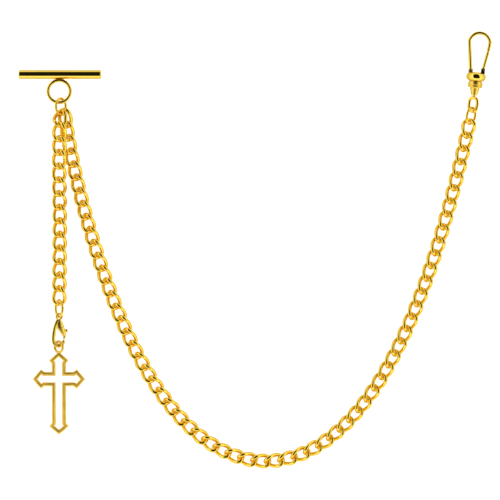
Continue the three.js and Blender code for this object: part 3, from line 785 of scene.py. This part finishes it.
PIN_RADIUS = 0.26
PIN_EDGE = 0.1


def pin(name, body, where, x, y, length, node):
    """A riveted pin along z with rounded ends."""
    face = PIN_RADIUS * 0.6
    stretch = PIN_RADIUS / (face + PIN_EDGE)
    profile = arc_profile(face, -length / 2 + PIN_EDGE, PIN_EDGE, -90, 0, 4)
    profile += arc_profile(face, length / 2 - PIN_EDGE, PIN_EDGE, 0, 90, 4)
    profile = [(radius * stretch, height) for radius, height in profile]
    mesh = lathe([(AXIS, -length / 2), *profile, (AXIS, length / 2)], 24)
    mesh.transform(Matrix.Translation((x, y, 0)) @ Matrix.Rotation(math.radians(90), 4, "X"))
    piece(name, mesh, body, steel, where, [node])


def coil(name, body, where, x, y, height, radius, turns, wire, node):
    """A small torsion coil whose turns lie side by side."""

    def path(t):
        angle = t * turns * 2 * math.pi
        rise = height + (t - 0.5) * turns * wire
        return Vector((x + radius * math.cos(angle), y + radius * math.sin(angle), rise))

    mesh = tube(path, int(turns * 24), wire / 2 * 0.9, False, 8)
    piece(name, mesh, body, steel, where, [node])


pin("lobster_rivet", "lobster", lobster_frame, *LEVER_PIVOT, 1.98, "lobster_pin")
coil("lobster_coil", "lobster", lobster_frame, *LEVER_PIVOT, 0.3, 0.43, 2.0, 0.14, "lobster_spring")

# ---- openwork cross ----


def cross_outline():
    """The outer corners, anticlockwise from the foot. The top point is at the origin."""
    arm_half, side, bottom, arm_y = CROSS_ARM_HALF, CROSS_HALF_WIDTH, -CROSS_HEIGHT, -CROSS_ARM_DROP
    right = [
        (CROSS_FLARE_HALF, bottom + CROSS_FLARE_IN),
        (arm_half, bottom + CROSS_WAIST_IN),
        (arm_half, arm_y - arm_half),
        (side - CROSS_WAIST_IN, arm_y - arm_half),
        (side - CROSS_FLARE_IN, arm_y - CROSS_FLARE_HALF),
        (side, arm_y),
        (side - CROSS_FLARE_IN, arm_y + CROSS_FLARE_HALF),
        (side - CROSS_WAIST_IN, arm_y + arm_half),
        (arm_half, arm_y + arm_half),
        (arm_half, -CROSS_WAIST_IN),
        (CROSS_FLARE_HALF, -CROSS_FLARE_IN),
    ]
    left = [(-x, y) for x, y in reversed(right)]
    return [Vector(corner) for corner in [(0, bottom), *right, (0, 0), *left]]


def inset(corners, distance):
    """The outline moved inward by one distance all round, for corners given anticlockwise."""
    moved = []
    for index, corner in enumerate(corners):
        before = (corner - corners[index - 1]).normalized()
        after = (corners[(index + 1) % len(corners)] - corner).normalized()
        inward = Vector((-before.y - after.y, before.x + after.x)).normalized()
        moved.append(corner + inward * (distance / inward.dot(Vector((-after.y, after.x)))))
    return moved


# The frame's section: two slopes that meet in a soft ridge, straight sides and a rounded back.
SIDE_LOW = -0.25
SIDE_HIGH = 0.02
EDGE_WIDTH = 0.07
EDGE_HEIGHT = 0.16
RIDGE_RISE = 0.44
RIDGE_STEPS = 12
BACK_EDGE = 0.16
section = [(0.0, SIDE_LOW), (0.0, SIDE_HIGH), (EDGE_WIDTH, EDGE_HEIGHT)]
for step in range(1, RIDGE_STEPS):
    across = step / RIDGE_STEPS
    ridge = 1 - abs(2 * across - 1) ** 1.5
    section.append((EDGE_WIDTH + (CROSS_FRAME - 2 * EDGE_WIDTH) * across, EDGE_HEIGHT + RIDGE_RISE * ridge))
section += [(CROSS_FRAME - EDGE_WIDTH, EDGE_HEIGHT), (CROSS_FRAME, SIDE_HIGH), (CROSS_FRAME, SIDE_LOW)]
section += [(CROSS_FRAME - BACK_EDGE, -0.5), (CROSS_FRAME / 2, -0.58), (BACK_EDGE, -0.5)]
outline = cross_outline()
apex_y = -PENDANT_LOOP_RADIUS + PENDANT_LOOP_WIRE / 2 - 0.3
loops = [inset(outline, across) for across, height in section]
corner_rings = []
for corner in range(len(outline)):
    corner_rings.append([
        Vector((loops[place][corner].x, loops[place][corner].y + apex_y, height))
        for place, (across, height) in enumerate(section)
    ])
cross_mesh = grid_mesh(corner_rings, True)
loop_path = oval(PENDANT_LOOP_RADIUS, PENDANT_LOOP_RADIUS)
loop_mesh = tube(loop_path, 96, ROUND_RING * PENDANT_LOOP_WIRE / 2, True, 20)
loop_mesh.transform(Matrix.Rotation(math.radians(PENDANT_LOOP_ROLL), 4, "Y"))
piece("cross", cross_mesh, "cross", cast, pendant_frame, ["cross_pendant"], 50)
piece("cross_loop", loop_mesh, "cross", cast, pendant_frame, ())

# ---- swivel clasp ----

arch_reach = math.hypot(HOOK_LEG_X, HOOK_ARCH_Y - BEAD_TOP)
leg_tilt = math.asin(HOOK_ARCH_RADIUS / arch_reach) - math.atan2(HOOK_LEG_X, HOOK_ARCH_Y - BEAD_TOP)


def leg_x(y):
    """How far a leg of the hook is from the clasp's axis."""
    return HOOK_LEG_X + (y - BEAD_TOP) * math.tan(leg_tilt)


def eye_path(t):
    """A loop with straight cheeks, which the tube makes into a slightly flattened band."""
    straight = EYE_HALF_LENGTH - EYE_HALF_WIDTH
    angle = t * 2 * math.pi
    rise = straight * max(-1, min(1, 1.8 * math.sin(angle)))
    return Vector((
        EYE_HALF_WIDTH * math.copysign(abs(math.cos(angle)) ** 0.8, math.cos(angle)),
        rise + EYE_HALF_WIDTH * math.sin(angle),
        0,
    ))


eye_mesh = tube(eye_path, 120, EYE_BAND / 2, True, 20, flat=0.9)
eye_mesh.transform(turned((0, SWIVEL_EYE_Y, 0), roll=EYE_ROLL))
POST_RADIUS = 0.5
POST_HEAD_RADIUS = 1.1
POST_HEAD_BOTTOM = -2.85
POST_HEAD_TOP = -2.35
post_bottom = SWIVEL_EYE_Y + EYE_HALF_LENGTH
post = lathe([
    (AXIS, post_bottom),
    (POST_RADIUS, post_bottom),
    (POST_RADIUS, POST_HEAD_BOTTOM),
    (POST_HEAD_RADIUS, POST_HEAD_BOTTOM),
    (POST_HEAD_RADIUS, POST_HEAD_TOP),
    (AXIS, POST_HEAD_TOP),
], 32)
piece("swivel_loop", joined(eye_mesh, post), "eye", linked, clasp_frame, ["swivel_eye"])

# The cone opens into a flange of two rounded rims. It is bored for the post, with a wide seat for its head.
BORE_RADIUS = 0.75
SEAT_RADIUS = 1.4
SEAT_BOTTOM = POST_HEAD_BOTTOM - FIT_GAP
barrel_top = BEAD_BOTTOM - 0.1
cone_profile = [(BORE_RADIUS, CONE_BOTTOM + 0.05), (BORE_RADIUS + 0.05, CONE_BOTTOM)]
cone_profile += arc_profile(CONE_END_RADIUS - 0.12, CONE_BOTTOM + 0.12, 0.12, -90, 0, 4)
cone_profile += [(CONE_RADIUS - 0.04, FLANGE_BOTTOM - 0.25), (CONE_RADIUS, FLANGE_BOTTOM - 0.08)]
cone_profile += [(CONE_RADIUS + 0.1, FLANGE_BOTTOM)]
cone_profile += arc_profile(FLANGE_RADIUS - 0.4, FLANGE_BOTTOM + 0.38, 0.38, -85, 55, 8)
cone_profile += [(FLANGE_RADIUS - 0.3, FLANGE_BOTTOM + 0.78)]
cone_profile += arc_profile(FLANGE_RADIUS - 0.35, FLANGE_BOTTOM + 1.2, 0.38, -60, 60, 8)
cone_profile += [(FLANGE_RADIUS - 0.25, barrel_top), (SEAT_RADIUS, barrel_top)]
cone_profile += [(SEAT_RADIUS, SEAT_BOTTOM), (BORE_RADIUS, SEAT_BOTTOM)]
cone_mesh = lathe(cone_profile, 72, closed=True)
piece("swivel_barrel", cone_mesh, "clasp", satin, clasp_frame, ["swivel_cone"], 50)

rim = (BEAD_TOP - BEAD_BOTTOM) / 2
bead_profile = [(AXIS, BEAD_BOTTOM), (2.2, BEAD_BOTTOM)]
bead_profile += arc_profile(BEAD_RADIUS - rim, BEAD_BOTTOM + rim, rim, -78, 72, 24)
bead_profile += [(2.3, BEAD_TOP), (AXIS, BEAD_TOP)]
bead_mesh = lathe(bead_profile, 96)
piece("swivel_ball", bead_mesh, "clasp", polished, clasp_frame, ["swivel_bead"], 60)

# The turned socket at the foot of the fixed leg. Its dark gold is painted shade.
COLLAR_RADIUS = 0.78
COLLAR_HEIGHT = 0.95
COLLAR_EDGE = 0.1
collar_foot = BEAD_TOP - 0.3
collar_profile = [(AXIS, collar_foot), (COLLAR_RADIUS - 0.06, collar_foot), (COLLAR_RADIUS, BEAD_TOP + 0.1)]
collar_profile += arc_profile(0.7, BEAD_TOP + COLLAR_HEIGHT - COLLAR_EDGE, COLLAR_EDGE, -20, 90, 5)
collar_profile += [(AXIS, BEAD_TOP + COLLAR_HEIGHT)]
collar_mesh = lathe(collar_profile, 32)
collar_mesh.transform(Matrix.Translation((-leg_x(BEAD_TOP + 0.4), 0, 0)))
piece("left_collar", collar_mesh, "clasp", painted_shade_gold, clasp_frame, (), 50)


def hook_path(t):
    """Up the left leg, round the arch, and down the right to the gate's end, at an even pace."""
    arch_start, arch_end = math.pi - leg_tilt, leg_tilt
    meet_y = HOOK_ARCH_Y + HOOK_ARCH_RADIUS * math.sin(leg_tilt)
    meet_x = HOOK_ARCH_RADIUS * math.cos(leg_tilt)
    foot_y, tip_y = BEAD_TOP - 0.2, GATE_END_Y + 0.06
    lengths = [
        math.hypot(meet_x - leg_x(foot_y), meet_y - foot_y),
        HOOK_ARCH_RADIUS * (arch_start - arch_end),
        math.hypot(meet_x - leg_x(tip_y), meet_y - tip_y),
    ]
    along = t * sum(lengths)
    if along < lengths[0]:
        u = along / lengths[0]
        return Vector((-leg_x(foot_y) + u * (leg_x(foot_y) - meet_x), foot_y + u * (meet_y - foot_y), 0))
    along -= lengths[0]
    if along < lengths[1]:
        angle = arch_start + (arch_end - arch_start) * along / lengths[1]
        return Vector((0, HOOK_ARCH_Y, 0)) + HOOK_ARCH_RADIUS * Vector((math.cos(angle), math.sin(angle), 0))
    u = (along - lengths[1]) / lengths[2]
    return Vector((meet_x + u * (leg_x(tip_y) - meet_x), meet_y + u * (tip_y - meet_y), 0))


hook_mesh = tube(hook_path, 140, HOOK_WIRE / 2, False, 20)
piece("hook", hook_mesh, "clasp", polished, clasp_frame, ["hook_wire"], 60)

gate_x = leg_x(GATE_HINGE_Y)


def gate_path(t):
    y = GATE_HINGE_Y + t * (GATE_END_Y - GATE_HINGE_Y)
    return Vector((leg_x(y), y, 0))


gate_leg = tube(gate_path, 24, lambda t: GATE_WIRE / 2 * (0.92 + 0.08 * t), False, 20)
HUB_HALF = 0.35
hub_foot = [(AXIS, -HUB_HALF), (GATE_HUB_RADIUS, -HUB_HALF)]
hub_head = [(GATE_HUB_RADIUS, HUB_HALF), (AXIS, HUB_HALF)]
gate_hub = lathe([*hub_foot, *hub_head], 32)
gate_hub.transform(turned((gate_x, GATE_HINGE_Y, -0.05), pitch=90))
piece("hook_gate", joined(gate_leg, gate_hub), "gate", polished, clasp_frame, ["gate"], 50)


EAR_RADIUS = 0.62
EAR_LENGTH = 1.45
EAR_INSIDE = 0.65
EAR_OUTSIDE = 1.05
EAR_STEPS = 12


def ear(name, low, high):
    """One of the two ears on the bead that hold the gate's pin, round at the top. Their dark gold is painted
    shade.
    """
    corners = [(-EAR_RADIUS, -EAR_LENGTH), (EAR_RADIUS, -EAR_LENGTH)]
    for step in range(EAR_STEPS + 1):
        angle = step * math.pi / EAR_STEPS
        corners.append((EAR_RADIUS * math.cos(angle), EAR_RADIUS * math.sin(angle)))
    rings = []
    for z in (low, high):
        rings.append([Vector((gate_x + x, GATE_HINGE_Y + y, z)) for x, y in corners])
    piece(name, grid_mesh(rings, False), "clasp", painted_shade_gold, clasp_frame, ())


ear("upper_ear", EAR_INSIDE, EAR_OUTSIDE)
ear("lower_ear", -EAR_OUTSIDE, -EAR_INSIDE)
pin("gate_rivet", "clasp", clasp_frame, gate_x, GATE_HINGE_Y, 2.2, "gate_pin")
coil("gate_coil", "clasp", clasp_frame, gate_x, GATE_HINGE_Y, 0.44, 0.48, 1.6, 0.13, "gate_spring")

# ---- floor ----

FLOOR_REACH = 1.5
FLOOR_DROP = 0.00002
FLOOR_GLOW_SEEN = 0.8
FLOOR_GLOW_REFLECTED = 0.3
floor_corners = [(x * FLOOR_REACH, y * FLOOR_REACH, 0) for x, y in ((-1, -1), (1, -1), (1, 1), (-1, 1))]
floor_mesh = bpy.data.meshes.new("floor")
floor_mesh.from_pydata(floor_corners, [], [(0, 1, 2, 3)])
floor = bpy.data.objects.new("floor", floor_mesh)
bpy.context.scene.collection.objects.link(floor)
floor.location.z = cad_low.z - FLOOR_DROP
floor_material = bpy.data.materials.new("floor")
floor_material.use_nodes = True
floor_nodes = Nodes(floor_material.node_tree)
floor_output = floor_nodes.add("ShaderNodeOutputMaterial")
floor_shader = floor_nodes.add("ShaderNodeBsdfPrincipled")
floor_shader.inputs["Base Color"].default_value = (0.9, 0.9, 0.9, 1)
floor_shader.inputs["Roughness"].default_value = 0.9
floor_shader.inputs["Specular IOR Level"].default_value = 0.0
floor_shader.inputs["Emission Color"].default_value = (1, 1, 1, 1)
# The floor glows more for the camera than for what the metal reflects.
seen = floor_nodes.add("ShaderNodeLightPath").outputs["Is Camera Ray"]
glow = floor_nodes.ramp(seen, 0, 1, FLOOR_GLOW_REFLECTED, FLOOR_GLOW_SEEN)
floor_nodes.link(glow, floor_shader.inputs["Emission Strength"])
floor_nodes.link(floor_shader.outputs["BSDF"], floor_output.inputs["Surface"])
floor_mesh.materials.append(floor_material)

# ---- studio: bright walls round a dark ceiling opening ----

# How far the dark opening reaches from straight above to each side, and how soft its edge is.
DARK_SIDE = math.radians(40)
DARK_NORTH = math.radians(66)
DARK_SOUTH = math.radians(42)
DARK_EDGE = math.radians(5)
NORTH_LIGHT = 1.0
SOUTH_LIGHT = 1.5
SIDE_LIGHT_HIGH = 1.6
SIDE_LIGHT_LOW = 1.1
SIDE_LIGHT_END = math.radians(95)
DARK_LIGHT = 0.015

world = bpy.data.worlds.new("studio")
bpy.context.scene.world = world
world.use_nodes = True
sky = Nodes(world.node_tree)
world_output = sky.add("ShaderNodeOutputWorld")
background = sky.add("ShaderNodeBackground")
sky.link(background.outputs["Background"], world_output.inputs["Surface"])
axes = sky.add("ShaderNodeSeparateXYZ")
sky.link(sky.add("ShaderNodeTexCoord").outputs["Generated"], axes.inputs["Vector"])
east = sky.math("ARCTAN2", axes.outputs["X"], axes.outputs["Z"])
north = sky.math("ARCTAN2", axes.outputs["Y"], axes.outputs["Z"])
south = sky.math("MULTIPLY", north, -1)
sideways = sky.math("ABSOLUTE", east)


def wall(turn, dark, light):
    """The light of a wall that starts softly where the dark opening ends."""
    return sky.ramp(turn, dark - DARK_EDGE, dark + DARK_EDGE, 0, light, True)


side_wall = wall(sideways, DARK_SIDE, 1)
north_wall = wall(north, DARK_NORTH, NORTH_LIGHT)
south_wall = wall(south, DARK_SOUTH, SOUTH_LIGHT)
fade = sky.ramp(sideways, DARK_SIDE, SIDE_LIGHT_END, SIDE_LIGHT_HIGH, SIDE_LIGHT_LOW)
side_light = sky.math("MULTIPLY", side_wall, fade)
walls = sky.math("MAXIMUM", side_light, sky.math("MAXIMUM", north_wall, south_wall))
sky.link(sky.math("ADD", walls, DARK_LIGHT), background.inputs["Strength"])

# ---- camera: straight above, square to the T-bar ----

# The width of the view, and its middle from the T-bar's middle.
VIEW_WIDTH = 182.25
VIEW_MIDDLE = Vector((69.3, -64.0, 2.0))
camera_data = bpy.data.cameras.new("camera")
camera_data.lens = 135
camera_data.sensor_width = 36
camera = bpy.data.objects.new("camera", camera_data)
bpy.context.scene.collection.objects.link(camera)
distance = VIEW_WIDTH * camera_data.lens / camera_data.sensor_width
camera.location = SHIFT + (VIEW_MIDDLE + Vector((0, 0, distance))) * MM
camera_data.clip_start = 0.01
camera_data.clip_end = 20
bpy.context.scene.camera = camera
bpy.context.scene.view_settings.view_transform = "Standard"
